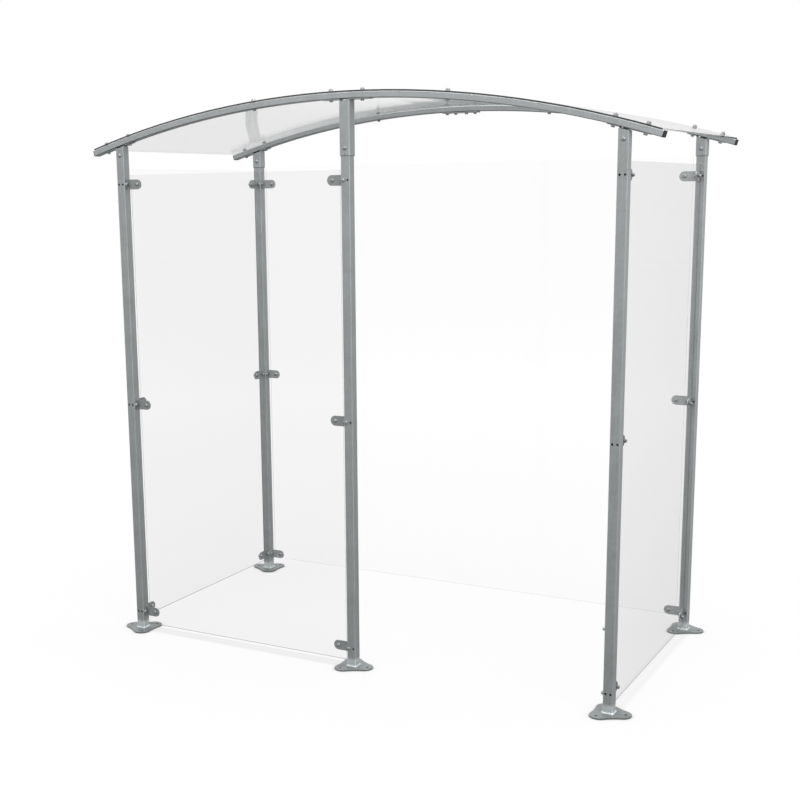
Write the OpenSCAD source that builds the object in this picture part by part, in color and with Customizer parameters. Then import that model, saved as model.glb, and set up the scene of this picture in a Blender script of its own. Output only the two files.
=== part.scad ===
// Open-fronted shelter: five square tube posts on three-lobed foot plates,
// two shallow tube arches, one clear curved roof sheet and four clear wall panes.
// Origin: centre of the footprint at floor level. X runs along the front, Y to the rear.

/* [Footprint] */
// Spacing of neighbouring front posts, centre to centre
bay_w = 1115; // [900:5:1300]
// Spacing of the front and rear posts, centre to centre
depth = 1096; // [800:2:1500]

/* [Posts] */
// Width of the square post tube
post_w = 40; // [36:1:50]
// Wall of the post tube
post_wall = 2; // [1.5:0.5:3]
// Outer corner radius of the post tube
post_corner = 3.5; // [3.2:0.1:5]
// Top of the sleeved posts above their head bolt
post_over_bolt = 18; // [14:1:22]

/* [Foot plates] */
// Thickness of the foot plates
foot_t = 6; // [4:1:12]
// Distance of each lobe's centre from the post axis
lobe_out = 50; // [46:1:60]
// Radius of each lobe
lobe_r = 38; // [30:1:42]
// Distance of the concave waists from the post axis
waist_in = 59; // [57:1:62]
// Circle of the anchor holes
anchor_pcd = 132; // [126:1:136]
// Radius of the anchor holes
anchor_r = 6; // [4:0.5:8]

/* [Arches] */
// Top surface of the arches at the crown
crown_z = 2358; // [2200:2:2600]
// Radius of the arches' top surface
arch_r = 4285; // [3600:5:5200]
// Width of the arch tube, front to rear
arch_w = 40; // [36:1:44]
// Radial height of the arch tube
arch_h = 24; // [22:1:32]
// Wall of the arch tube
arch_wall = 2; // [1.5:0.5:3]
// Outer corner radius of the arch tube
arch_corner = 3.5; // [3.2:0.1:5]
// Overhang of the arches past the end posts, along the ground
eaves = 139; // [125:1:180]
// Radius of the roof bolt holes
roof_bolt_r = 4.5; // [3:0.5:5.5]
// Roof bolts beside the crown, from the middle
crown_bolt = 70; // [60:1:80]
// Roof bolts between the crown and the end posts, from the middle
mid_bolt = 432; // [300:1:600]

/* [Roof sheet] */
// Thickness of the roof sheet
sheet_t = 6; // [3:0.5:8]
// Seating gap between arches and sheet
sheet_seat = 0.3; // [0.2:0.1:0.5]
// How far the sheet stops short of the arch ends
sheet_short = 6; // [2:1:20]
// Sheet past the front and rear faces of the arches
sheet_past = 0.5; // [0:0.5:10]

/* [Post heads] */
// Sheet metal of the heads
head_t = 2.5; // [2:0.5:3]
// Clearance between a head and its post
head_fit = 0.3; // [0.2:0.1:0.5]
// Head bolts of the front posts below the arch's underside at the end posts
head_bolt_drop = 40; // [36:1:44]
// The same for the rear posts
rear_bolt_drop = 50; // [36:1:54]
// Head below its bolt
head_skirt = 33; // [31:1:44]
// Clipped lower corners of a head
head_clip = 5; // [2:1:8]
// Open slit between the front wall and the tabs
head_slit = 3; // [3:1:9]
// Inner bend radius of the tabs
head_bend = 3; // [2:0.5:3]
// Inner corner radius of the heads inside the front end posts
inner_bend = 1; // [0.5:0.5:2]
// Inner tab of an end head, from the post axis
tab_in = 65; // [60:1:80]
// Outer tab of an end head, from the post axis
tab_out = 96; // [90:1:110]
// Roof bolt through the inner tab, from the post axis
tab_bolt_in = 45; // [42:1:50]
// Roof bolt through the outer tab, from the post axis
tab_bolt_out = 77; // [70:1:80]
// Tabs of the middle head, from the post axis
tab_mid = 107; // [95:1:130]
// Radius of the head bolt holes
head_bolt_r = 4.5; // [3:0.5:6]
// Small spare hole in the middle head, below its head bolt
spare_drop = 24; // [20:1:26]
// Radius of the small spare hole
spare_r = 2.5; // [1.5:0.5:4]
// Relief notch at the left end of the middle head's slit, from its middle
notch_in = 12; // [8:1:14]
// Radius of the relief notch
notch_r = 3; // [2:0.5:4]

/* [Rear splice] */
// Half length of the splice plate
splice_half = 87; // [84:1:110]
// Thickness of the splice plate
splice_t = 5; // [3:1:8]
// Inner splice bolts, from the middle
splice_bolt = 27; // [20:1:40]

/* [End caps] */
// Thickness of the cap's flange
cap_t = 3; // [2:0.5:6]
// Length of the cap's plug inside the tube
cap_plug = 18; // [10:1:30]
// Clearance between plug and tube
cap_fit = 0.3; // [0.2:0.1:0.5]
// Wall of the hollow plug
cap_wall = 2; // [1.5:0.5:3]

/* [Panes] */
// Thickness of the panes
pane_t = 5; // [3:0.5:8]
// Gap between a pane's edge and the post
pane_side = 17; // [12:1:24]
// Pane past the centres of its end clips
pane_over = 50; // [30:1:60]
// Left side pane above its even place
lift_left = 16; // [-20:1:30]
// Front pane above its even place
lift_front = -10; // [-20:1:30]
// Rear pane above its even place
lift_rear = 30; // [-20:1:30]
// Right side pane above its even place
lift_right = -2; // [-20:1:30]

/* [Clips] */
// Centre of the lowest clips above the floor
clip_low = 84; // [82:1:150]
// Centre of the highest clips below the arches' underside at the end posts
clip_top_drop = 163; // [145:1:220]
// Strip thickness
clip_t = 3; // [2:0.5:4]
// Strip height
clip_h = 42; // [36:1:50]
// Clip past the post's face
clip_reach = 74; // [70:1:90]
// Foot on the post's face
clip_foot = 20; // [18:1:22]
// Rounding of the foot's corners
clip_foot_round = 14; // [6:1:14]
// Outer bend radius of the clip
clip_bend = 4.5; // [4.2:0.1:6]
// Pane bolt past the post's face
pane_bolt = 52; // [45:1:54]
// Clip bolt beside the post's centre plane
clip_bolt_off = 10; // [8:1:11]
// Radius of the clip and pane bolt holes
clip_bolt_r = 4.5; // [3:0.5:5]

/* [Hidden] */
$fn = 48;
// Segments in a full circle of the arches' size
arc_fn = 1080;
// Overrun of a cut past the face it opens
eps = 1;

steel = [0.62, 0.65, 0.65];
dark_steel = [0.55, 0.58, 0.58];
clear_sheet = [0.85, 0.92, 0.93, 0.35];
cap_black = [0.12, 0.12, 0.12];

// Arch centre, underside radius and the direction from it to the end posts' heads
arch_zc = crown_z - arch_r;
under_r = arch_r - arch_h;
end_angle = asin(bay_w / under_r);
tip_angle = asin((bay_w + eaves) / (arch_r - arch_h / 2));
eaves_z = arch_zc + under_r * cos(end_angle);

front_bolt_z = eaves_z - head_bolt_drop;
rear_bolt_z = eaves_z - rear_bolt_drop;

// Outer half width and corner radius of the heads over their post and inside it
sleeve_out = post_w / 2 + head_fit + head_t;
sleeve_corner = post_corner + head_t;
inner_out = post_w / 2 - post_wall - head_fit;
inner_corner = inner_bend + head_t;
bend_out = head_bend + head_t;

clip_high = eaves_z - clip_top_drop;
clip_zs = [clip_low, (clip_low + clip_high) / 2, clip_high];
pane_h = clip_high - clip_low + 2 * pane_over;

front_y = -depth / 2;
rear_y = depth / 2;

// Angle along the arch for a length on its top or underside
function arc_deg(len, r) = len / r * 180 / PI;
// Roof bolts on one half of an arch: beside the crown, between, and through the two tabs
bolt_angles = [arc_deg(crown_bolt, arch_r), arc_deg(mid_bolt, arch_r),
               end_angle - arc_deg(tab_bolt_in, under_r),
               end_angle + arc_deg(tab_bolt_out, under_r)];

// ---- shared shapes ----

// Rectangle with exact round corners, centred
module round_rect(w, h, r) {
    square([w - 2 * r, h], center = true);
    square([w, h - 2 * r], center = true);
    for (sx = [-1, 1], sy = [-1, 1])
        translate([sx * (w / 2 - r), sy * (h / 2 - r)]) circle(r);
}

// Outline of a rectangular tube, centred
module tube_outline(w, h, r, wall) {
    difference() {
        round_rect(w, h, r);
        round_rect(w - 2 * wall, h - 2 * wall, r - wall);
    }
}

// Sweeps an outline (x = radius, y = front to rear) along the arch,
// between two angles counted from the crown towards +X
module along_arch(from, to) {
    translate([0, 0, arch_zc])
        rotate([90, 0, 0])
            rotate([0, 0, 90 - to])
                rotate_extrude(angle = to - from, $fn = arc_fn)
                    children();
}

// Stands its children on the arch's centre line: z runs outwards, x along the arch
module at_arch(angle, r) {
    translate([0, 0, arch_zc])
        rotate([0, angle, 0])
            translate([0, 0, r])
                children();
}

// Hole along the arch's radius, cutting from one radius to another
module radial_hole(angle, r, from, to) {
    at_arch(angle, from) cylinder(r = r, h = to - from);
}

// Hole along Y through the origin
module hole_y(r, len) {
    rotate([90, 0, 0]) cylinder(r = r, h = len, center = true);
}

// Hole along X through the origin
module hole_x(r, len) {
    rotate([0, 90, 0]) cylinder(r = r, h = len, center = true);
}

// Extrudes an outline drawn in X and Z along Y, centred
module prism_y(len) {
    rotate([90, 0, 0]) linear_extrude(height = len, center = true) children();
}

// Extrudes an outline drawn in Y and Z along X, centred
module prism_x(len) {
    rotate([90, 0, 90]) linear_extrude(height = len, center = true) children();
}

// ---- foot plates ----

// Waist arc that meets two neighbouring lobes tangentially
lobe_along = lobe_out * cos(60);
lobe_side = lobe_out * sin(60);
waist_r = ((waist_in - lobe_along) ^ 2 + lobe_side ^ 2 - lobe_r ^ 2)
          / (2 * (lobe_r - (waist_in - lobe_along)));
waist_out = waist_in + waist_r;
// Half the turn of a lobe's arc and of a waist's arc
lobe_turn = atan2(waist_out * sin(60), waist_out * cos(60) - lobe_out);
waist_turn = atan2(lobe_side, waist_out - lobe_along);

function turned(p, a) = [p.x * cos(a) - p.y * sin(a), p.x * sin(a) + p.y * cos(a)];
function lobe_point(u) = [lobe_out + lobe_r * cos(u), lobe_r * sin(u)];
function waist_point(u) = [waist_out - waist_r * cos(u), waist_r * sin(u)];

// Three round lobes joined by shallow concave waists
module lobed_outline() {
    polygon([for (a = [0, 120, 240]) each concat(
        [for (i = [-14:14]) turned(lobe_point(i / 14 * lobe_turn), a)],
        [for (i = [-3:3]) turned(waist_point(i / 4 * waist_turn), a + 60)])]);
}

// Foot plate with one lobe pointing along +X (turn = 0) or -X (turn = 180)
module base_plate(x, y, turn) {
    color(steel)
        translate([x, y, 0])
            rotate([0, 0, turn])
                difference() {
                    linear_extrude(height = foot_t) lobed_outline();
                    for (a = [0, 120, 240])
                        rotate([0, 0, a]) translate([anchor_pcd / 2, 0, -eps])
                            cylinder(r = anchor_r, h = foot_t + 2 * eps);
                }
}

// ---- posts ----

// Distance of a flat tab below the curved underside so that its far end touches it
function chord_seat(len) = under_r - sqrt(under_r ^ 2 - len ^ 2);

// Square tube post. side_hole is the X face that carries a clip: -1, 1 or 0 for none.
// slope is 0 for a square top at top_z, or the side (-1, 1) of a top cut along the arch
module post(x, y, side_hole, bolt_z, top_z, slope) {
    color(steel)
        translate([x, y, 0])
            difference() {
                translate([0, 0, foot_t])
                    linear_extrude(height = top_z - foot_t)
                        tube_outline(post_w, post_w, post_corner, post_wall);
                for (z = clip_zs) {
                    for (s = [-1, 1])
                        translate([s * clip_bolt_off, 0, z]) hole_y(clip_bolt_r, post_w + 2 * eps);
                    if (side_hole != 0)
                        translate([side_hole * post_w / 2, -clip_bolt_off, z])
                            hole_x(clip_bolt_r, 2 * post_wall + 2 * eps);
                }
                translate([0, 0, bolt_z]) hole_y(head_bolt_r, post_w + 2 * eps);
                if (slope != 0)
                    translate([0, 0, eaves_z])
                        rotate([0, slope * end_angle, 0])
                            translate([-2 * post_w, -post_w, -chord_seat(tab_out) - head_t - head_slit])
                                cube([4 * post_w, 2 * post_w, 2 * post_w]);
            }
}

// End post at the front, cut along the arch's slope over a head inside it
module front_end_post(side, side_hole) {
    post(side * bay_w, front_y, side_hole, front_bolt_z, eaves_z + post_w / 2, side);
}

// Post inside a sleeve at the front middle or the rear
module sleeved_post(x, y, side_hole, bolt_z) {
    post(x, y, side_hole, bolt_z, bolt_z + post_over_bolt, 0);
}

// ---- post heads ----
// tilt is the arch's slope over the post, top_z its underside there, seat the tabs'
// distance below that and out the outer half width of the head's tube.

// Half plane below a line that leans with the arch, v above or below the underside
module below_line(tilt, top_z, v) {
    translate([0, top_z])
        rotate(-tilt)
            translate([-2 * tab_mid, v - 4 * tab_mid])
                square(4 * tab_mid);
}

// Region right of a wall line and below a leaning line, with their corner rounded
module folded_region(tilt, top_z, x, v, r) {
    far = 8 * tab_mid;
    z = top_z + (v - x * sin(tilt)) / cos(tilt);
    centre_z = top_z + (v - r - (x + r) * sin(tilt)) / cos(tilt);
    difference() {
        polygon([[x, z], [x, z - far], [x + far, z - far],
                 [x + far * cos(tilt), z - far * sin(tilt)]]);
        difference() {
            polygon([[x, z], [x, centre_z], [x + r, centre_z],
                     [x + r + r * sin(tilt), centre_z + r * cos(tilt)]]);
            translate([x + r, centre_z]) circle(r);
        }
    }
}

// One folded leg of a head in X and Z: wall, bend and tab on the +X side.
// tab is the tab's length and low the wall's lower edge
module folded_leg(out, tilt, top_z, seat, tab, low) {
    intersection() {
        difference() {
            folded_region(tilt, top_z, out - head_t, -seat, bend_out);
            folded_region(tilt, top_z, out, -seat - head_t, head_bend);
        }
        translate([0, low]) square([2 * tab_mid, 4 * tab_mid]);
        translate([0, top_z])
            rotate(-tilt)
                translate([tab - 4 * tab_mid, -4 * tab_mid])
                    square([4 * tab_mid, 8 * tab_mid]);
    }
}

// Outline of a head's tube seen from one side, with clipped lower corners
module head_side(out, low, high) {
    polygon([[-out + head_clip, low], [out - head_clip, low],
             [out, low + head_clip], [out, high],
             [-out, high], [-out, low + head_clip]]);
}

// Square tube of a head with a slit under the arch; its back wall rises past the slit
module head_tube(out, corner, tilt, top_z, seat, low) {
    high = top_z + out;
    back = out - corner;
    intersection() {
        linear_extrude(height = high) tube_outline(2 * out, 2 * out, corner, head_t);
        prism_y(4 * out) head_side(out, low, high);
        prism_x(4 * out) head_side(out, low, high);
        union() {
            prism_y(4 * out) below_line(tilt, top_z, -seat - head_t - head_slit);
            translate([0, out, 0])
                prism_y(2 * corner)
                    intersection() {
                        below_line(tilt, top_z, -seat);
                        translate([-back, low]) square([2 * back, high - low]);
                    }
        }
    }
}

// Head at the origin's post; legs_w is the width of its folded legs,
// left and right are the lengths of their tabs
module head_body(out, corner, legs_w, tilt, top_z, seat, bolt_z, left, right) {
    low = bolt_z - head_skirt;
    head_tube(out, corner, tilt, top_z, seat, low);
    prism_y(legs_w) {
        folded_leg(out, tilt, top_z, seat, right, low + head_clip);
        mirror([1, 0]) folded_leg(out, -tilt, top_z, seat, left, low + head_clip);
    }
}

// Head of an end post; side is -1 for the left posts and 1 for the right ones
module end_head(side, y, bolt_z, out, corner, legs_w) {
    color(steel)
        translate([0, y, 0])
            mirror([side < 0 ? 1 : 0, 0, 0])
                difference() {
                    translate([bay_w, 0, 0])
                        head_body(out, corner, legs_w, end_angle, eaves_z, chord_seat(tab_out),
                                  bolt_z, tab_in, tab_out);
                    translate([bay_w, 0, bolt_z]) hole_y(head_bolt_r, 2 * out + 2 * eps);
                    for (a = [bolt_angles[2], bolt_angles[3]])
                        radial_hole(a, roof_bolt_r, under_r - 4 * head_t, under_r + eps);
                }
}

// Head inside a front end post
module inner_head(side) {
    end_head(side, front_y, front_bolt_z, inner_out, inner_corner, 2 * (inner_out - inner_corner));
}

// Head over a rear post
module sleeve_head(side) {
    end_head(side, rear_y, rear_bolt_z, sleeve_out, sleeve_corner, arch_w);
}

// Long head over the middle post, up to the crown
module middle_head() {
    top_z = arch_zc + under_r;
    seat = chord_seat(tab_mid);
    color(steel)
        translate([0, front_y, 0])
            difference() {
                head_body(sleeve_out, sleeve_corner, arch_w, 0, top_z, seat, front_bolt_z,
                          tab_mid, tab_mid);
                translate([0, 0, front_bolt_z]) hole_y(head_bolt_r, 2 * sleeve_out + 2 * eps);
                translate([0, -sleeve_out, front_bolt_z - spare_drop]) hole_y(spare_r, 4 * head_t);
                translate([-notch_in, -sleeve_out, top_z - seat - head_t - head_slit])
                    hole_y(notch_r, 4 * head_t);
                for (s = [-1, 1])
                    radial_hole(s * bolt_angles[0], roof_bolt_r, under_r - 4 * head_t,
                                under_r + eps);
            }
}

// ---- arches and roof ----

// Half arch from the crown to its square-cut end, with the roof bolt holes
module half_arch(side, y, extra_holes) {
    color(steel)
        translate([0, y, 0])
            mirror([side < 0 ? 1 : 0, 0, 0])
                difference() {
                    along_arch(0, tip_angle)
                        translate([arch_r - arch_h / 2, 0])
                            tube_outline(arch_h, arch_w, arch_corner, arch_wall);
                    for (a = concat(bolt_angles, extra_holes))
                        radial_hole(a, roof_bolt_r, under_r - eps, arch_r + eps);
                }
}

splice_angle = arc_deg(splice_bolt, under_r);

// Flat plate under the joint of the rear half arches
module splice_rear() {
    seat = chord_seat(splice_half);
    color(dark_steel)
        translate([0, rear_y, 0])
            difference() {
                translate([0, 0, arch_zc + under_r - seat - splice_t])
                    linear_extrude(height = splice_t)
                        square([2 * splice_half, arch_w], center = true);
                for (a = [splice_angle, bolt_angles[0]], s = [-1, 1])
                    radial_hole(s * a, roof_bolt_r, under_r - 3 * splice_t, under_r + eps);
            }
}

// Black plug with a flange over the tube's end
module end_cap(side, y) {
    plug_h = arch_h - 2 * arch_wall - 2 * cap_fit;
    plug_w = arch_w - 2 * arch_wall - 2 * cap_fit;
    plug_r = arch_corner - arch_wall - cap_fit;
    color(cap_black)
        translate([0, y, 0])
            mirror([side < 0 ? 1 : 0, 0, 0])
                at_arch(tip_angle, arch_r - arch_h / 2) {
                    translate([cap_t / 2, 0, 0])
                        prism_x(cap_t) round_rect(arch_w, arch_h, arch_corner);
                    translate([-cap_plug / 2, 0, 0])
                        prism_x(cap_plug)
                            difference() {
                                round_rect(plug_w, plug_h, plug_r);
                                square([plug_w - 2 * cap_wall, plug_h - 2 * cap_wall],
                                       center = true);
                            }
                }
}

// Clear sheet bent over both arches
module roof_sheet() {
    inner = arch_r + sheet_seat;
    width = depth + arch_w + 2 * sheet_past;
    reach = tip_angle - arc_deg(sheet_short, arch_r);
    color(clear_sheet)
        difference() {
            along_arch(-reach, reach)
                translate([inner + sheet_t / 2, 0]) square([sheet_t, width], center = true);
            for (y = [front_y, rear_y], s = [-1, 1], a = bolt_angles)
                translate([0, y, 0])
                    radial_hole(s * a, roof_bolt_r, inner - eps, inner + sheet_t + eps);
        }
}

// ---- panes and clips ----
// A bay's own frame: x from its first post's axis to its second one's, y = 0 the centre
// plane of both posts. Clips lie at 0 <= y <= clip_t, the pane behind them.

module front_bay() {
    translate([-bay_w, front_y, 0]) children();
}

module rear_bay() {
    translate([-bay_w, rear_y, 0]) children();
}

module left_bay() {
    translate([-bay_w, front_y, 0]) rotate([0, 0, 90]) children();
}

module right_bay() {
    translate([bay_w, rear_y, 0]) rotate([0, 0, -90]) children();
}

// Pane of a bay with a hole for each clip's pane bolt
module pane(span, lift) {
    w = span - post_w - 2 * pane_side;
    edge = post_w / 2 + pane_bolt;
    color(clear_sheet)
        difference() {
            translate([(span - w) / 2, clip_t, clip_low - pane_over + lift])
                cube([w, pane_t, pane_h]);
            for (x = [edge, span - edge], z = clip_zs)
                translate([x, clip_t + pane_t / 2, z]) hole_y(clip_bolt_r, pane_t + 2 * eps);
        }
}

// Plan of an angle clip on the post face at x = 0, opening towards +X
module clip_plan() {
    difference() {
        union() {
            translate([0, clip_t - clip_foot]) square([clip_t, clip_foot - clip_bend]);
            translate([clip_bend, 0]) square([clip_reach - clip_bend, clip_t]);
            translate([clip_bend, clip_t - clip_bend])
                intersection() {
                    circle(clip_bend);
                    translate([-clip_bend, 0]) square(clip_bend);
                }
        }
        translate([clip_bend, clip_t - clip_bend]) circle(clip_bend - clip_t);
    }
}

// Outline of the clip seen along Y: a strip with a full round end
module clip_front() {
    end = clip_h / 2;
    translate([0, -end]) square([clip_reach - end, clip_h]);
    translate([clip_reach - end, 0]) circle(end, $fn = 96);
}

// Outline of the clip seen along X: the foot's free corners are round
module clip_side() {
    r = clip_foot_round;
    free = clip_t - clip_foot;
    translate([free + r, -clip_h / 2]) square([clip_foot - r, clip_h]);
    translate([free, r - clip_h / 2]) square([r, clip_h - 2 * r]);
    for (s = [-1, 1])
        translate([free + r, s * (clip_h / 2 - r)]) circle(r);
}

// One angle clip at the origin
module clip() {
    difference() {
        intersection() {
            linear_extrude(height = clip_h, center = true) clip_plan();
            prism_y(4 * clip_foot) clip_front();
            prism_x(4 * clip_reach) clip_side();
        }
        translate([0, -clip_bolt_off, 0]) hole_x(clip_bolt_r, 4 * clip_t);
        translate([pane_bolt, 0, 0]) hole_y(clip_bolt_r, 4 * clip_t);
    }
}

// The three clips on a bay's first post
module clips_first() {
    color(dark_steel)
        for (z = clip_zs)
            translate([post_w / 2, 0, z]) clip();
}

// The three clips on a bay's second post
module clips_second(span) {
    color(dark_steel)
        for (z = clip_zs)
            translate([span - post_w / 2, 0, z]) mirror([1, 0, 0]) clip();
}

base_plate(-bay_w, front_y, 180);  // base_plate_front_left
base_plate(0, front_y, 0);  // base_plate_front_middle
base_plate(bay_w, front_y, 0);  // base_plate_front_right
base_plate(-bay_w, rear_y, 180);  // base_plate_rear_left
base_plate(bay_w, rear_y, 0);  // base_plate_rear_right
front_end_post(-1, 1);  // post_front_left
sleeved_post(0, front_y, -1, front_bolt_z);  // post_front_middle
front_end_post(1, 0);  // post_front_right
sleeved_post(-bay_w, rear_y, 1, rear_bolt_z);  // post_rear_left
sleeved_post(bay_w, rear_y, -1, rear_bolt_z);  // post_rear_right
inner_head(-1);  // head_front_left
middle_head();  // head_front_middle
inner_head(1);  // head_front_right
sleeve_head(-1);  // head_rear_left
sleeve_head(1);  // head_rear_right
half_arch(-1, front_y, []);  // arch_front_left
half_arch(1, front_y, []);  // arch_front_right
half_arch(-1, rear_y, [splice_angle]);  // arch_rear_left
half_arch(1, rear_y, [splice_angle]);  // arch_rear_right
splice_rear();
roof_sheet();
end_cap(-1, front_y);  // end_cap_front_left
end_cap(1, front_y);  // end_cap_front_right
end_cap(-1, rear_y);  // end_cap_rear_left
end_cap(1, rear_y);  // end_cap_rear_right
front_bay() pane(bay_w, lift_front);  // pane_front_left
left_bay() pane(depth, lift_left);  // pane_left_side
rear_bay() pane(2 * bay_w, lift_rear);  // pane_rear
right_bay() pane(depth, lift_right);  // pane_right_side
front_bay() clips_first();  // clips_front_pane_left
front_bay() clips_second(bay_w);  // clips_front_pane_right
left_bay() clips_first();  // clips_left_pane_front
left_bay() clips_second(depth);  // clips_left_pane_rear
rear_bay() clips_first();  // clips_rear_pane_left
rear_bay() clips_second(2 * bay_w);  // clips_rear_pane_right
right_bay() clips_second(depth);  // clips_right_pane_front
right_bay() clips_first();  // clips_right_pane_rear
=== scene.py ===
"""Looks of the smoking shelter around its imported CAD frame.

Everything is in metres in the CAD frame: X along the front, Y to the rear, Z up from the floor.
"""

import math

import bmesh
import bpy
from mathutils import Matrix, Vector


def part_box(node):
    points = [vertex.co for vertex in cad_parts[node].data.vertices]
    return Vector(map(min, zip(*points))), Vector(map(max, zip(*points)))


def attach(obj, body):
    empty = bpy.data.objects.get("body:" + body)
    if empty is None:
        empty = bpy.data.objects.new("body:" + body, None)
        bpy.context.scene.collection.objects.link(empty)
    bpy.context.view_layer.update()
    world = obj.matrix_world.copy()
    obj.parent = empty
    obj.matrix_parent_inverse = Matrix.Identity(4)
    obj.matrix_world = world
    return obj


BODY = "root"

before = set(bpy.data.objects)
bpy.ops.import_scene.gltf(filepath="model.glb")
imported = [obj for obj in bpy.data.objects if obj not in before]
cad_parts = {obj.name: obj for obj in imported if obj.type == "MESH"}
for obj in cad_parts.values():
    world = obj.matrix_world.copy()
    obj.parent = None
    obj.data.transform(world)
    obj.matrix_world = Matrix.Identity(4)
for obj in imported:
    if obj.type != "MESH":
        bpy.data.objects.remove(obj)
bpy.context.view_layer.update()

# ---- sizes of the frame that the fixings follow ----

ARCH_R = 4.285  # radius of the arches' top surface
ARCH_H = 0.024  # radial height of the arch tube
UNDER_R = ARCH_R - ARCH_H
HEAD_T = 0.0025  # sheet metal of the post heads
SPLICE_T = 0.005
CLIP_T = 0.003
PANE_T = 0.005
TAB_OUT = 0.096  # longest tab of an end head
TAB_MID = 0.107
SPLICE_HALF = 0.087
CROWN_BOLT = 0.070
MID_BOLT = 0.432
TAB_BOLTS = (-0.045, 0.077)  # roof bolts through an end head's tabs, from the post axis
SPLICE_BOLT = 0.027
PANE_BOLT = 0.052  # pane bolt past the post's face
FOOT_BOLT = 0.010  # clip bolt beside the post's centre plane
FRONT_BOLT_DROP = 0.040  # head bolts below the arch's underside over an end post
REAR_BOLT_DROP = 0.050
POST_HOLE = 0.010  # half spacing of the paired holes in a post


def centre(node):
    """Middle of a CAD node's box."""
    low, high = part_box(node)
    return (low + high) / 2


FRONT_Y = centre("post_front_left").y
REAR_Y = centre("post_rear_left").y
BAY = centre("post_front_right").x
POST_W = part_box("post_front_left")[1].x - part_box("post_front_left")[0].x
FOOT_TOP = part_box("base_plate_front_left")[1].z
CROWN_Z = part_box("arch_front_left")[1].z
SHEET_TOP_R = ARCH_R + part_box("roof_sheet")[1].z - CROWN_Z
ARCH_CENTRE_Z = CROWN_Z - ARCH_R
END_ANGLE = math.asin(BAY / UNDER_R)
EAVES_Z = ARCH_CENTRE_Z + UNDER_R * math.cos(END_ANGLE)
SLEEVE_OUT = centre("head_front_middle").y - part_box("head_front_middle")[0].y

clip_low, clip_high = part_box("clips_front_pane_left")
CLIP_H = 0.042
CLIP_ZS = (clip_low.z + CLIP_H / 2, (clip_low.z + clip_high.z) / 2, clip_high.z - CLIP_H / 2)


# ---- shader graphs ----


class Graph:
    """A material's or the world's node tree, built with short calls."""

    def __init__(self, owner):
        owner.use_nodes = True
        self.tree = owner.node_tree
        self.tree.nodes.clear()

    def add(self, kind, inputs=None, **settings):
        node = self.tree.nodes.new("ShaderNode" + kind)
        for name, value in settings.items():
            setattr(node, name, value)
        for key, value in (inputs or {}).items():
            if isinstance(value, bpy.types.NodeSocket):
                self.tree.links.new(value, node.inputs[key])
            else:
                node.inputs[key].default_value = value
        return node

    def math(self, operation, first, second=0.0, third=0.0):
        return self.add("Math", {0: first, 1: second, 2: third}, operation=operation).outputs[0]

    def blend(self, factor, first, second):
        """Colour between two colours."""
        node = self.add("Mix", {0: factor, 6: first, 7: second}, data_type="RGBA")
        return node.outputs[2]

    def span(self, value, low, high):
        """A 0 to 1 value stretched over a range."""
        return self.math("MULTIPLY_ADD", value, high - low, low)

    def finish(self, shader, output="OutputMaterial"):
        self.add(output, {"Surface": shader})


def grey(level, green=0.0, blue=0.0):
    return (level, level + green, level + blue, 1.0)


def material(name):
    made = bpy.data.materials.new(name)
    return made, Graph(made)


def along_z(g):
    """Object coordinates; streaks run up the posts."""
    return g.add("TexCoord").outputs["Object"]


def along_arch(g):
    """Coordinates whose third one runs along the arch."""
    place = g.add("SeparateXYZ", {0: g.add("TexCoord").outputs["Object"]}).outputs
    up = g.math("SUBTRACT", place[2], ARCH_CENTRE_Z)
    run = g.math("MULTIPLY", g.math("ARCTAN2", place[0], up), ARCH_R)
    across = g.math("SQRT", g.math("ADD", g.math("POWER", place[0], 2.0), g.math("POWER", up, 2.0)))
    return g.add("CombineXYZ", {0: across, 1: place[1], 2: run}).outputs[0]


FOOT_HIGHLIGHT_TOP = 0.046  # height of the painted highlight over a foot weld
FOOT_HIGHLIGHT_FULL = 0.7  # share of that height below which the painted highlight is full
FOOT_HIGHLIGHT_RAGGED = 0.008
FOOT_HIGHLIGHT_TONE = 0.75  # how much it adds to the tone


def painted_foot_highlight(g, here):
    """Share of the painted highlight over the foot weld, ragged at its upper edge."""
    ragged = g.add("TexNoise", {"Vector": here, "Scale": 60.0, "Detail": 3.0}).outputs[0]
    height = g.add("SeparateXYZ", {0: here}).outputs[2]
    height = g.math("ADD", height, g.span(ragged, -FOOT_HIGHLIGHT_RAGGED, FOOT_HIGHLIGHT_RAGGED))
    full = FOOT_HIGHLIGHT_TOP * FOOT_HIGHLIGHT_FULL
    return g.add("MapRange", {"Value": height, "From Min": FOOT_HIGHLIGHT_TOP, "From Max": full}).outputs[0]


PAINTED_SHADE_FOOT, PAINTED_SHADE_TOP = 0.0, 2.3  # heights between which the posts' tone changes, a painted shade that is darkest at the ground
PAINTED_SHADE_TONES = (0.88, 1.07)  # painted shade, darker at the ground and lighter at the top; fitted to the photo
PAINTED_ARRIS_HIGHLIGHT = 0.7  # painted highlight along a post's arrises: at 45 degrees the tone rises by half of this share
STREAKS = (170.0, 170.0, 3.0)  # streak noise across, across and along the run
CLOUDS = 11.0
SPANGLES = 105.0  # zinc crystals of about a centimetre
GRAIN = 900.0
SPANGLE_TONE = 0.05
SPANGLE_ROUGH = 0.04


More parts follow.
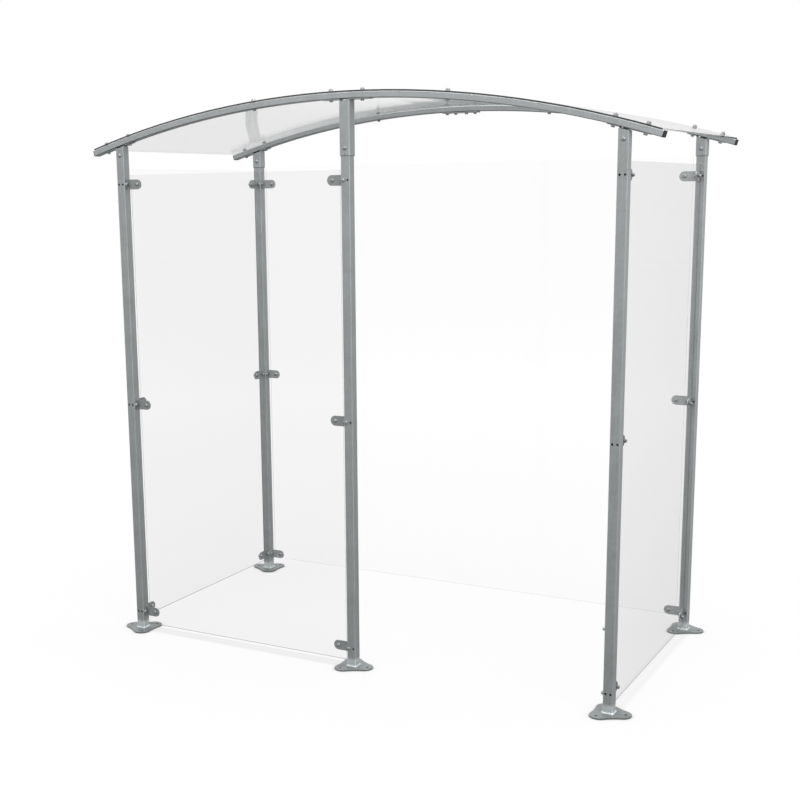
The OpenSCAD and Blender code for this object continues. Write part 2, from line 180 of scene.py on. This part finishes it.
def zinc(name, base, run=along_z, metallic=0.45, rough=(0.36, 0.52), mottle=0.10, streak=0.08, upright=False,
         rim=1.0):
    """Galvanised steel: spangled zinc with drawn streaks, cloudy dull patches and fine grain.

    An upright piece has painted shade towards the ground, a painted highlight along its arrises
    and a painted highlight over its foot. rim is the tone of the faces that stand on edge: painted shade.
    """
    made, g = material(name)
    flow = run(g)
    here = g.add("TexCoord").outputs["Object"]
    drawn = g.add("VectorMath", {0: flow, 1: STREAKS}, operation="MULTIPLY").outputs[0]
    streaks = g.add("TexNoise", {"Vector": drawn, "Scale": 1.0, "Detail": 3.0}).outputs[0]
    clouds = g.add("TexNoise", {"Vector": here, "Scale": CLOUDS, "Detail": 5.0,
                                "Roughness": 0.62}).outputs[0]
    cells = g.add("TexVoronoi", {"Vector": here, "Scale": SPANGLES, "Randomness": 1.0}).outputs["Color"]
    spangle = g.add("SeparateColor", {0: cells}).outputs[0]
    grain = g.add("TexNoise", {"Vector": here, "Scale": GRAIN, "Detail": 2.0}).outputs[0]

    fine = g.math("ADD", g.span(streaks, -streak, streak), g.span(spangle, -SPANGLE_TONE, SPANGLE_TONE))
    tone = g.math("ADD", g.span(clouds, 1 - mottle * 2, 1 + mottle * 2), fine)
    cool = (base[0] * 0.93, base[1], base[2] * 1.05, 1.0)
    tint = g.blend(g.math("MULTIPLY", clouds, spangle), base, cool)
    # Painted shade towards the ground, and a painted highlight over the foot weld.
    if upright:
        height = g.add("SeparateXYZ", {0: here}).outputs[2]
        ground_shade = g.add("MapRange", {"Value": height, "From Min": PAINTED_SHADE_FOOT, "From Max": PAINTED_SHADE_TOP,
                                     "To Min": PAINTED_SHADE_TONES[0], "To Max": PAINTED_SHADE_TONES[1]}).outputs[0]
        tone = g.math("MULTIPLY_ADD", tone, ground_shade, g.math("MULTIPLY", painted_foot_highlight(g, here), FOOT_HIGHLIGHT_TONE))
    normal = g.add("SeparateXYZ", {0: g.add("NewGeometry").outputs["True Normal"]}).outputs
    # Painted shade on the faces that stand on edge, where rim is below 1.
    tone = g.math("MULTIPLY", tone, g.span(g.math("ABSOLUTE", normal[2]), rim, 1.0))
    # Painted highlight along the post's arrises.
    if upright:
        corner = g.math("ABSOLUTE", g.math("MULTIPLY", normal[0], normal[1]))
        tone = g.math("MULTIPLY", tone, g.math("MULTIPLY_ADD", corner, PAINTED_ARRIS_HIGHLIGHT, 1.0))
    colour = g.add("VectorMath", {0: tint, 3: tone}, operation="SCALE").outputs[0]
    roughness = g.math("ADD", g.span(clouds, *rough), g.span(spangle, -SPANGLE_ROUGH, SPANGLE_ROUGH))
    relief = g.math("ADD", g.math("MULTIPLY", spangle, 0.35), g.math("ADD", grain, streaks))
    bump = g.add("Bump", {"Strength": 0.10, "Distance": 0.0006, "Height": relief}).outputs[0]
    shader = g.add("BsdfPrincipled", {"Base Color": colour, "Metallic": metallic,
                                      "Roughness": roughness, "Normal": bump}).outputs[0]
    g.finish(shader)
    return made


def plastic(name, base):
    """Moulded black plastic with a fine texture."""
    made, g = material(name)
    here = g.add("TexCoord").outputs["Object"]
    grain = g.add("TexNoise", {"Vector": here, "Scale": 700.0, "Detail": 3.0}).outputs[0]
    wear = g.add("TexNoise", {"Vector": here, "Scale": 60.0, "Detail": 4.0}).outputs[0]
    colour = g.blend(wear, base, grey(base[0] * 1.9))
    bump = g.add("Bump", {"Strength": 0.2, "Distance": 0.0003, "Height": grain}).outputs[0]
    shader = g.add("BsdfPrincipled", {"Base Color": colour, "Roughness": g.span(wear, 0.42, 0.62),
                                      "Specular IOR Level": 0.08, "Normal": bump}).outputs[0]
    g.finish(shader)
    return made


SHEET_MIRROR = 0.012  # share mirrored by a face seen straight on
SHEET_ROUGH = 0.07
SCHLICK = 5.0


def clear_sheet(name, face_axis, face_limit, tint, deep_tint, mirror_top, shine, cut_axis, edge, covers,
                steep=SCHLICK):
    """Clear sheet: a tinted see-through body with glossy faces, and denser cut edges.

    face_axis is the axis that the broad faces look along, face_limit how far a normal may lean from it.
    Of the cut edges, those that look along cut_axis hide most of what is behind them: covers gives the
    hidden share of the other edges and of these.
    The mirror share rises to mirror_top as in Schlick's rule, and alike on both sides of a see-through face;
    steep is its power.
    """
    made, g = material(name)
    here = g.add("TexCoord").outputs["Object"]
    normal = g.add("SeparateXYZ", {0: g.add("NewGeometry").outputs["True Normal"]}).outputs
    is_edge = g.math("LESS_THAN", g.math("ABSOLUTE", normal[face_axis]), face_limit)
    facing = g.add("LayerWeight", {"Blend": 0.5}).outputs["Facing"]
    haze = g.add("TexNoise", {"Vector": here, "Scale": 2.2, "Detail": 4.0}).outputs[0]
    depth = g.math("MULTIPLY", g.math("POWER", facing, 3.0), g.span(haze, 0.9, 1.1))
    body = g.add("BsdfTransparent", {"Color": g.blend(depth, tint, deep_tint)}).outputs[0]
    wave = g.add("TexNoise", {"Vector": here, "Scale": 5.0, "Detail": 1.0}).outputs[0]
    ripple = g.add("Bump", {"Strength": 0.05, "Distance": 0.002, "Height": wave}).outputs[0]
    gloss = g.add("BsdfGlossy", {"Color": shine, "Roughness": SHEET_ROUGH, "Normal": ripple}).outputs[0]
    mirror = g.span(g.math("POWER", facing, steep), SHEET_MIRROR, mirror_top)
    face = g.add("MixShader", {0: mirror, 1: body, 2: gloss}).outputs[0]

    cut = g.add("TexNoise", {"Vector": here, "Scale": 260.0, "Detail": 3.0}).outputs[0]
    sawn = g.add("BsdfPrincipled", {"Base Color": g.blend(cut, edge, grey(edge[0] * 1.5)),
                                    "Roughness": 0.35, "Specular IOR Level": 0.2}).outputs[0]
    through = g.add("BsdfTransparent", {"Color": tint}).outputs[0]
    is_dense = g.math("GREATER_THAN", g.math("ABSOLUTE", normal[cut_axis]), 0.5)
    rim = g.add("MixShader", {0: g.span(is_dense, *covers), 1: through, 2: sawn}).outputs[0]
    g.finish(g.add("MixShader", {0: is_edge, 1: face, 2: rim}).outputs[0])
    return made


# The rear posts and clips are written paler than the front ones to make up for the weaker light there.
# It isn't known that their steel differs. The tints of the panes are fitted to the photo's bays too.
POST_STEEL = zinc("galvanised_posts", (0.326, 0.341, 0.339, 1.0), upright=True)
REAR_POST_STEEL = zinc("galvanised_rear_posts", (0.362, 0.378, 0.376, 1.0), upright=True)
# rim=0.75 paints shade on the edge faces of the foot plates.
PLATE_STEEL = zinc("galvanised_plates", (0.240, 0.254, 0.254, 1.0), mottle=0.14, rim=0.75)
ARCH_STEEL = zinc("galvanised_arches", (0.374, 0.388, 0.389, 1.0), run=along_arch)
CLIP_STEEL = zinc("pressed_clips", (0.290, 0.299, 0.297, 1.0), mottle=0.18, rough=(0.34, 0.50))
REAR_CLIP_STEEL = zinc("pressed_rear_clips", (0.430, 0.443, 0.440, 1.0), mottle=0.18, rough=(0.34, 0.50))
BOLT_STEEL = zinc("zinc_bolts", (0.36, 0.37, 0.37, 1.0), metallic=0.6, rough=(0.20, 0.32), mottle=0.05)
WELD_METAL = zinc("weld_metal", (0.60, 0.63, 0.64, 1.0), metallic=0.6, rough=(0.34, 0.50), mottle=0.08)
CAP_PLASTIC = plastic("black_plastic", grey(0.012))

X, Y, Z = 0, 1, 2
ROOF_EDGE = grey(0.06, 0.003, 0.002)
ROOF_STEEP = 7.5  # steeper than Schlick's 5, so that the underside stays clear where it is seen less aslant
ROOF_CLEAR = clear_sheet("clear_roof_sheet", Z, 0.8, grey(0.987), grey(0.92), 1.0, grey(0.98), Y,
                         ROOF_EDGE, (0.15, 1.0), ROOF_STEEP)

PANE_DEPTH = grey(0.905)
PANE_SHINE = grey(0.48)
PANE_MIRROR = 0.35
PANE_EDGE = grey(0.10, 0.012, 0.010)
UPRIGHT_COVER = 0.3  # what a pane's upright edges hide


def clear_pane(name, face_axis, tint, level_cover):
    """Flat pane; level_cover is what its top and bottom edges hide."""
    return clear_sheet(name, face_axis, 0.5, grey(tint), PANE_DEPTH, PANE_MIRROR, PANE_SHINE, Z,
                       PANE_EDGE, (UPRIGHT_COVER, level_cover))


REAR_CLEAR = clear_pane("clear_rear_pane", Y, 0.998, 0.35)
FRONT_CLEAR = clear_pane("clear_front_pane", Y, 0.963, 0.9)
LEFT_CLEAR = clear_pane("clear_left_pane", X, 0.995, 0.9)
RIGHT_CLEAR = clear_pane("clear_right_pane", X, 0.986, 0.4)

# The first name that a node starts with counts, so the longer names stand before the shorter ones.
FINISHES = (
    ("base_plate", PLATE_STEEL),
    ("post_rear", REAR_POST_STEEL),
    ("head_rear", REAR_POST_STEEL),
    ("post", POST_STEEL),
    ("head", POST_STEEL),
    ("arch", ARCH_STEEL),
    ("splice", CLIP_STEEL),
    ("roof_sheet", ROOF_CLEAR),
    ("end_cap", CAP_PLASTIC),
    ("pane_left", LEFT_CLEAR),
    ("pane_right", RIGHT_CLEAR),
    ("pane_rear", REAR_CLEAR),
    ("pane_front", FRONT_CLEAR),
    ("clips_rear_pane", REAR_CLIP_STEEL),
    ("clips_left_pane_rear", REAR_CLIP_STEEL),
    ("clips_right_pane_rear", REAR_CLIP_STEEL),
    ("clips", CLIP_STEEL),
)


def dress(node, mesh_object):
    """Gives a CAD node the first finish whose name starts its own."""
    finish = next(made for start, made in FINISHES if node.startswith(start))
    mesh_object.data.materials.clear()
    mesh_object.data.materials.append(finish)


for node_name, node_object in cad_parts.items():
    dress(node_name, node_object)


# ---- small mesh shapes, built along +Z from the surface they sit on ----

HEX = 6
HEX_POINTS = 36
STUB_POINTS = 24
NUT_ACROSS = 0.013  # spanner size of an M8 nut or head
NUT_HEIGHT = 0.0065
HEAD_HEIGHT = 0.0053
NUT_WASHER = 0.62  # washer radius as a share of the nut's spanner size
DOME_WASHER_R = 0.0088
DOME_STEPS = 6
DOME_TURN = math.pi * 0.4  # how far the arc of a button head turns
BUTTON_RIM = 0.0008  # straight rim below that arc
THREAD_PITCH = 0.00125


def stack(mesh, rings, place):
    """Skins closed rings of points into one solid, then sets it in place."""
    loops = [[mesh.verts.new(place @ Vector(p)) for p in ring] for ring in rings]
    count = len(loops[0])
    for low, high in zip(loops, loops[1:]):
        for i in range(count):
            j = (i + 1) % count
            mesh.faces.new((low[i], low[j], high[j], high[i]))
    mesh.faces.new(tuple(reversed(loops[0])))
    mesh.faces.new(tuple(loops[-1]))


def ring(radius, z, count=32, corners=0, turn=0.0):
    """Points round a circle, or round a polygon of the given corners with that inner radius."""
    points = []
    for i in range(count):
        a = 2 * math.pi * i / count
        reach = radius
        if corners:
            half = math.pi / corners
            reach = radius / math.cos((a % (2 * half)) - half)
        points.append((reach * math.cos(a + turn), reach * math.sin(a + turn), z))
    return points


def washer(mesh, place, radius=0.008, thick=0.0016):
    edge = thick * 0.2
    stack(mesh, [ring(radius - edge, 0.0), ring(radius, edge), ring(radius, thick - edge),
                 ring(radius - edge, thick)], place)
    return place @ Matrix.Translation((0, 0, thick))


def hexagon(mesh, place, across, height, turn=0.0):
    """Hexagon nut or head whose top corners are chamfered by a circle."""
    flat = across / 2
    chamfer = height * 0.12
    foot = ring(flat, 0.0, HEX_POINTS, HEX, turn)
    top = []
    for x, y, _ in foot:
        reach = math.hypot(x, y)
        kept = min(reach, flat * 1.03) / reach
        top.append((kept * x, kept * y, height - chamfer * 0.3))
    stack(mesh, [foot, ring(flat, height - chamfer * 1.6, HEX_POINTS, HEX, turn), top,
                 ring(flat * 0.97, height, HEX_POINTS, 0, turn)], place)
    return place @ Matrix.Translation((0, 0, height))


def button(mesh, place, radius=0.0080, height=0.0048, socket=0.0025):
    """Round button head with a hexagon socket."""
    rings = [ring(radius, 0.0, HEX_POINTS)]
    for step in range(DOME_STEPS + 1):
        a = DOME_TURN * step / DOME_STEPS
        rise = (height - BUTTON_RIM) * math.sin(a) / math.sin(DOME_TURN)
        rings.append(ring(radius * math.cos(a), BUTTON_RIM + rise, HEX_POINTS))
    rings.append(ring(socket, height, HEX_POINTS, HEX))
    rings.append(ring(socket, height * 0.4, HEX_POINTS, HEX))
    stack(mesh, rings, place)


def stub(mesh, place, radius=0.004, length=0.003):
    """End of a bolt past its nut, with thread grooves and a chamfered tip."""
    rings = [ring(radius * 0.9, 0.0, STUB_POINTS)]
    turns = max(1, int(length / THREAD_PITCH))
    groove = length / (turns + 0.5)
    for i in range(turns):
        z = (i + 0.5) * groove
        rings.append(ring(radius, z, STUB_POINTS))
        rings.append(ring(radius * 0.9, z + groove / 2, STUB_POINTS))
    rings.append(ring(radius * 0.7, length, STUB_POINTS))
    stack(mesh, rings, place)


def nut(mesh, place, turn=0.0, tail=0.003, across=NUT_ACROSS):
    """Washer, hexagon nut and bolt end."""
    top = hexagon(mesh, washer(mesh, place, across * NUT_WASHER), across, NUT_HEIGHT, turn)
    stub(mesh, top, length=tail)


def hex_head(mesh, place, turn=0.0):
    hexagon(mesh, washer(mesh, place), NUT_ACROSS, HEAD_HEIGHT, turn)


def dome_head(mesh, place):
    button(mesh, washer(mesh, place, DOME_WASHER_R))


def looking(origin, direction):
    """Frame at a point whose Z looks along a direction."""
    return Matrix.Translation(origin) @ Vector(direction).to_track_quat("Z", "Y").to_matrix().to_4x4()


def piece(name, mesh, finish, smooth_angle=35.0):
    """Turns a bmesh into a piece of the object that rides on the frame."""
    data = bpy.data.meshes.new(name)
    bmesh.ops.recalc_face_normals(mesh, faces=mesh.faces)
    mesh.to_mesh(data)
    mesh.free()
    made = bpy.data.objects.new(name, data)
    bpy.context.scene.collection.objects.link(made)
    data.materials.append(finish)
    data.shade_smooth()
    data.set_sharp_from_angle(angle=math.radians(smooth_angle))
    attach(made, BODY)
    return made


# ---- roof bolts ----


def on_arch(angle, radius, y):
    """Point on an arch and the outward direction there."""
    out = Vector((math.sin(angle), 0.0, math.cos(angle)))
    return Vector((0.0, y, ARCH_CENTRE_Z)) + out * radius, out


def chord_seat(length):
    """Gap between a flat tab and the curved underside over the post."""
    return UNDER_R - math.sqrt(UNDER_R ** 2 - length ** 2)


def flat_under(angle, middle, below):
    """Radius at which a line meets a flat plate that lies under the arch, square to the radius at middle."""
    return (UNDER_R - below) / math.cos(angle - middle)


ROOF_NUT = 0.016  # spanner size of the nuts on the roof


def roof_bolts(name, y, crown_below):
    """Nuts on the sheet and bolt heads below one arch; crown_below is the thickness under the crown bolts."""
    mesh = bmesh.new()
    places = []
    for side in (-1, 1):
        crown = side * CROWN_BOLT / ARCH_R
        places.append((crown, flat_under(crown, 0.0, crown_below)))
        places.append((side * MID_BOLT / ARCH_R, UNDER_R))
        for offset in TAB_BOLTS:
            angle = side * (END_ANGLE + offset / UNDER_R)
            places.append((angle, flat_under(angle, side * END_ANGLE, chord_seat(TAB_OUT) + HEAD_T)))
    for i, (angle, under) in enumerate(places):
        point, out = on_arch(angle, SHEET_TOP_R, y)
        nut(mesh, looking(point, out), turn=0.35 * i, across=ROOF_NUT)
        point, out = on_arch(angle, under, y)
        hex_head(mesh, looking(point, -out), turn=0.5 * i)
    return piece(name, mesh, BOLT_STEEL)


roof_bolts("roof_bolts_front", FRONT_Y, chord_seat(TAB_MID) + HEAD_T)
roof_bolts("roof_bolts_rear", REAR_Y, chord_seat(SPLICE_HALF) + SPLICE_T)


def splice_bolts():
    """Inner bolts of the rear splice, seen from below."""
    mesh = bmesh.new()
    for side in (-1, 1):
        angle = side * SPLICE_BOLT / UNDER_R
        point, out = on_arch(angle, flat_under(angle, 0.0, chord_seat(SPLICE_HALF) + SPLICE_T), REAR_Y)
        hex_head(mesh, looking(point, -out), turn=0.3)
    return piece("splice_bolts_rear", mesh, BOLT_STEEL)


splice_bolts()

# ---- head bolts through the post tops ----

POSTS = ("front_left", "front_middle", "front_right", "rear_left", "rear_right")
HEADS_INSIDE = ("front_left", "front_right")


def head_bolts():
    """Bolts through the post tops: on the post's own faces where the head sits inside."""
    mesh = bmesh.new()
    for post in POSTS:
        axis = centre("post_" + post)
        reach = POST_W / 2 if post in HEADS_INSIDE else SLEEVE_OUT
        height = EAVES_Z - (FRONT_BOLT_DROP if post.startswith("front") else REAR_BOLT_DROP)
        dome_head(mesh, looking(Vector((axis.x, axis.y - reach, height)), (0, -1, 0)))
        nut(mesh, looking(Vector((axis.x, axis.y + reach, height)), (0, 1, 0)), turn=0.4)
    return piece("head_bolts", mesh, BOLT_STEEL)


head_bolts()

# ---- clip bolts ----


def turned(x, y, degrees):
    """A bay's own frame: x from its first post to its second one, clips at y = 0, pane behind them."""
    return Matrix.Translation((x, y, 0)) @ Matrix.Rotation(math.radians(degrees), 4, "Z")


BAYS = {
    "front": (turned(-BAY, FRONT_Y, 0), BAY),
    "rear": (turned(-BAY, REAR_Y, 0), 2 * BAY),
    "left": (turned(-BAY, FRONT_Y, 90), REAR_Y - FRONT_Y),
    "right": (turned(BAY, REAR_Y, -90), REAR_Y - FRONT_Y),
}


def clip_bolts(bay):
    """Pane bolt and post bolt of each of a bay's six clips."""
    mesh = bmesh.new()
    to_world, span = BAYS[bay]
    for first, x, out in ((True, POST_W / 2, 1), (False, span - POST_W / 2, -1)):
        for z in CLIP_ZS:
            pane_x = x + out * PANE_BOLT
            dome_head(mesh, to_world @ looking((pane_x, 0.0, z), (0, -1, 0)))
            nut(mesh, to_world @ looking((pane_x, CLIP_T + PANE_T, z), (0, 1, 0)), turn=z, tail=0.002)
            dome_head(mesh, to_world @ looking((x + out * CLIP_T, -FOOT_BOLT, z), (out, 0, 0)))
    return piece("clip_bolts_" + bay, mesh, BOLT_STEEL)


for bay_name in BAYS:
    clip_bolts(bay_name)


def spare_bolts():
    """Bolts through the left one of the middle post's paired holes, with nuts at the back."""
    mesh = bmesh.new()
    axis = centre("post_front_middle")
    for z in CLIP_ZS:
        dome_head(mesh, looking((axis.x - POST_HOLE, axis.y - POST_W / 2, z), (0, -1, 0)))
        nut(mesh, looking((axis.x - POST_HOLE, axis.y + POST_W / 2, z), (0, 1, 0)), turn=z)
    return piece("spare_bolts_front_middle", mesh, BOLT_STEEL)


spare_bolts()

LOOSE_BOLT_Z = 0.34  # bolt of the doorway face that no clip stands beside


def doorway_bolts():
    """Two bolts left in the right post's doorway face."""
    mesh = bmesh.new()
    axis = centre("post_front_right")
    for z in (CLIP_ZS[0], LOOSE_BOLT_Z):
        nut(mesh, looking((axis.x - POST_W / 2, axis.y - FOOT_BOLT, z), (-1, 0, 0)), turn=z, tail=0.002)
    return piece("doorway_bolts", mesh, BOLT_STEEL)


doorway_bolts()

# ---- weld beads round the post feet ----

BEAD_R = 0.0058
BEAD_STEP = 0.0016  # spacing of its ripples' sections
BEAD_SIDES = 8
BEAD_SWELL = 0.05
POST_CORNER = 0.0035


def square_path(half, corner, step):
    """Points and outward directions round a square with round corners, evenly spaced."""
    straight = 2 * (half - corner)
    arc = corner * math.pi / 2
    total = 4 * (straight + arc)
    count = round(total / step)
    path = []
    for i in range(count):
        side, s = divmod(total * i / count, straight + arc)
        if s < straight:
            point, out = Vector((half, s - straight / 2, 0)), 0.0
        else:
            out = (s - straight) / corner
            point = Vector((half - corner + corner * math.cos(out), straight / 2 + corner * math.sin(out), 0))
        spin = Matrix.Rotation(side * math.pi / 2, 3, "Z")
        path.append((spin @ point, spin @ Vector((math.cos(out), math.sin(out), 0))))
    return path


def axis_point(axis, point, out, reach, rise):
    """Point beside a post's foot: reach out from its face and rise above the plate."""
    return Vector((axis.x, axis.y, FOOT_TOP)) + point + out * reach + Vector((0, 0, rise))


def weld_bead(post):
    """Rippled fillet of weld metal in the corner between a post and its foot plate."""
    mesh = bmesh.new()
    axis = centre("post_" + post)
    path = square_path(POST_W / 2, POST_CORNER, BEAD_STEP)
    loops = []
    for i, (point, out) in enumerate(path):
        ripple = math.sin(i * 1.9) + math.sin(i * 0.21 + axis.x)
        radius = BEAD_R * (1.0 + BEAD_SWELL * ripple)
        loop = [mesh.verts.new(axis_point(axis, point, out, 0.0, 0.0))]
        for k in range(BEAD_SIDES + 1):
            a = math.pi / 2 * k / BEAD_SIDES
            skin = axis_point(axis, point, out, radius * math.cos(a), radius * math.sin(a))
            loop.append(mesh.verts.new(skin))
        loops.append(loop)
    for i, loop in enumerate(loops):
        after = loops[(i + 1) % len(loops)]
        for k in range(len(loop)):
            m = (k + 1) % len(loop)
            mesh.faces.new((loop[k], after[k], after[m], loop[m]))
    return piece("weld_bead_" + post, mesh, WELD_METAL, smooth_angle=60.0)


for post_name in POSTS:
    weld_bead(post_name)

# ---- floor, light and background ----

FLOOR_SIZE = 60.0
FLOOR_GREY = 0.075
FLOOR_GLOW = (0.885, 0.953)  # near the shelter, far from it; fitted to the photo's near-white floor
GLOW_NEAR, GLOW_FAR = 1.0, 7.0  # distances that those two belong to
CONTACT = 0.05  # reach of the shade where the object meets the floor


def floor():
    """Pale floor that keeps the object's shadow and reads as white beyond it."""
    mesh = bmesh.new()
    bmesh.ops.create_grid(mesh, x_segments=1, y_segments=1, size=FLOOR_SIZE / 2)
    data = bpy.data.meshes.new("floor")
    mesh.to_mesh(data)
    mesh.free()
    made = bpy.data.objects.new("floor", data)
    bpy.context.scene.collection.objects.link(made)
    surface, g = material("pale_floor")
    rays = g.add("LightPath").outputs
    here = g.add("TexCoord").outputs["Object"]
    away = g.add("VectorMath", {0: here}, operation="LENGTH").outputs["Value"]
    far = g.add("MapRange", {"Value": away, "From Min": GLOW_NEAR, "From Max": GLOW_FAR}).outputs[0]
    open_sky = g.add("AmbientOcclusion", {"Distance": CONTACT}, samples=8).outputs["AO"]
    facing = g.add("LayerWeight", {"Blend": 0.5}).outputs["Facing"]
    plain = g.math("MULTIPLY", g.math("MAXIMUM", rays["Is Camera Ray"], rays["Is Transmission Ray"]),
                   g.math("MULTIPLY", open_sky, g.span(far, *FLOOR_GLOW)))
    mirrored = g.math("MULTIPLY", rays["Is Glossy Ray"], g.span(g.math("POWER", facing, 1.5), 0.1, 1.0))
    glow = g.add("Emission", {"Color": grey(1.0), "Strength": g.math("MAXIMUM", plain, mirrored)}).outputs[0]
    matt = g.add("BsdfDiffuse", {"Color": grey(FLOOR_GREY)}).outputs[0]
    g.finish(g.add("AddShader", {0: glow, 1: matt}).outputs[0])
    data.materials.append(surface)


def softbox(name, location, target, size, watts, mirrored=True):
    """Area lamp that looks at a target; mirrored says whether glossy faces show it."""
    lamp = bpy.data.lights.new(name, "AREA")
    lamp.shape = "RECTANGLE"
    lamp.size, lamp.size_y = size
    lamp.energy = watts
    made = bpy.data.objects.new(name, lamp)
    bpy.context.scene.collection.objects.link(made)
    made.location = location
    made.visible_glossy = mirrored
    made.rotation_euler = (Vector(target) - Vector(location)).to_track_quat("-Z", "Y").to_euler()
    return made


def background(light_level):
    """Soft even light all round, and plain white where it is seen."""
    world = bpy.data.worlds.new("studio")
    bpy.context.scene.world = world
    g = Graph(world)
    rays = g.add("LightPath").outputs
    seen = g.math("MAXIMUM", rays["Is Camera Ray"], g.math("MAXIMUM", rays["Is Transmission Ray"],
                                                           rays["Is Glossy Ray"]))
    ambient = g.add("Background", {"Color": grey(1.0), "Strength": light_level}).outputs[0]
    white = g.add("Background", {"Color": grey(1.0), "Strength": 1.0}).outputs[0]
    g.finish(g.add("MixShader", {0: seen, 1: ambient, 2: white}).outputs[0], "OutputWorld")


floor()
background(0.62)
# Seen from behind, the front lamp's glare in the roof would hide the front arch, so it isn't mirrored.
softbox("front", (0.5, -6.5, 3.5), (0.0, 0.0, 1.2), (5.2, 4.2), 92, mirrored=False)
softbox("front_left", (-2.4, -4.2, 4.6), (-0.3, 0.0, 1.6), (2.0, 1.6), 27)
softbox("key", (6.9, -4.7, 6.8), (0.2, 0.0, 1.8), (3.6, 2.9), 340)
softbox("top", (0.0, 1.0, 9.0), (0.0, 0.0, 0.0), (7.6, 5.6), 540)

# ---- camera, solved against the photograph ----

CAMERA_PLACE = (2.5268, -5.1401, 1.9717)
CAMERA_TURN = (0.5135, -0.1950, -0.01434)  # yaw, pitch, roll in radians
LENS = 58.487
SHIFT = (0.0779, 0.0627)


def camera():
    data = bpy.data.cameras.new("camera")
    data.lens = LENS
    data.shift_x, data.shift_y = SHIFT
    data.clip_start, data.clip_end = 0.05, 100.0
    made = bpy.data.objects.new("camera", data)
    bpy.context.scene.collection.objects.link(made)
    yaw, pitch, roll = CAMERA_TURN
    ahead = Vector((-math.sin(yaw) * math.cos(pitch), math.cos(yaw) * math.cos(pitch), math.sin(pitch)))
    level = Vector((math.cos(yaw), math.sin(yaw), 0.0))
    above = level.cross(ahead)
    right = math.cos(roll) * level + math.sin(roll) * above
    up = -math.sin(roll) * level + math.cos(roll) * above
    turn = Matrix((right, up, -ahead)).transposed()
    made.matrix_world = Matrix.Translation(CAMERA_PLACE) @ turn.to_4x4()
    bpy.context.scene.camera = made


camera()
bpy.context.scene.view_settings.view_transform = "Standard"
